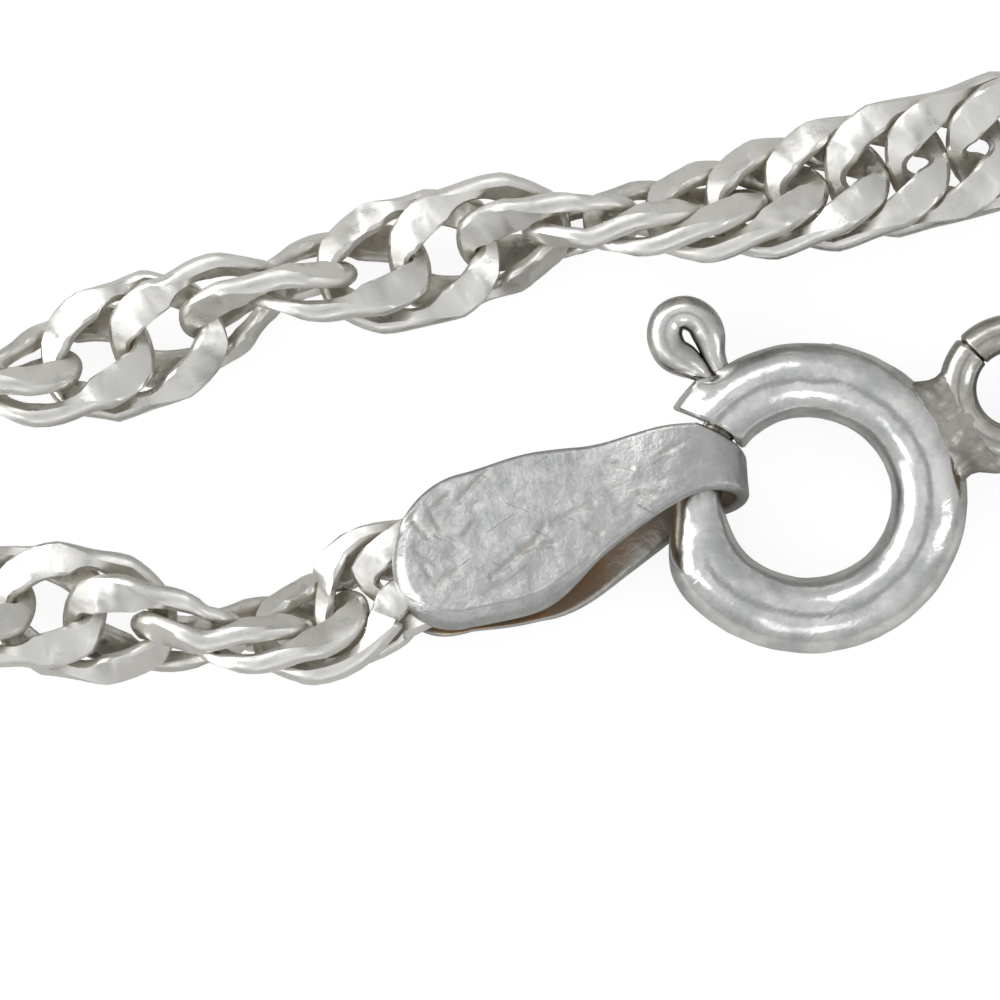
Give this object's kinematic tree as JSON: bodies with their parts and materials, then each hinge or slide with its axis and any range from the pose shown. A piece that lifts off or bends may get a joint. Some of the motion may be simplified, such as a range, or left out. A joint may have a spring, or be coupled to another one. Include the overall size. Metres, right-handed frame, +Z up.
{
  "type": "singapore chain necklace",
  "caption": "Twisted singapore chain necklace lying closed, with folded end tags and a bolt ring clasp whose sprung trigger slides.",
  "frame": {"origin": "middle of the necklace's box where it lies, at the surface that it rests on", "axes": "+Z up from the surface, +X along the laid necklace from its small loop towards its large loop"},
  "size_m": [0.1686, 0.1074, 0.0025],
  "materials": {
    "chain_silver": "diamond-cut sterling silver, tarnished in its crevices",
    "tag_silver": "pressed sterling silver, worn and scratched",
    "clasp_silver": "drawn sterling silver tube, polished and worn",
    "wire_silver": "drawn sterling silver wire, polished and worn"
  },
  "bodies": {
    "necklace": {"chain": "chain_silver", "hook_tag": "tag_silver", "clasp_ring": "clasp_silver", "eye_tag": "tag_silver"},
    "trigger": {"trigger": "wire_silver"}
  },
  "joints": [
    {"name": "trigger_slide", "type": "hinge", "parent": "necklace", "child": "trigger", "pos_m": [-0.04, -0.0035, 0.00117], "axis": [0, 0, -1], "range_deg": [0, 36], "stiffness_Nm_per_rad": 0.005, "springref_deg": -17.19}
  ]
}
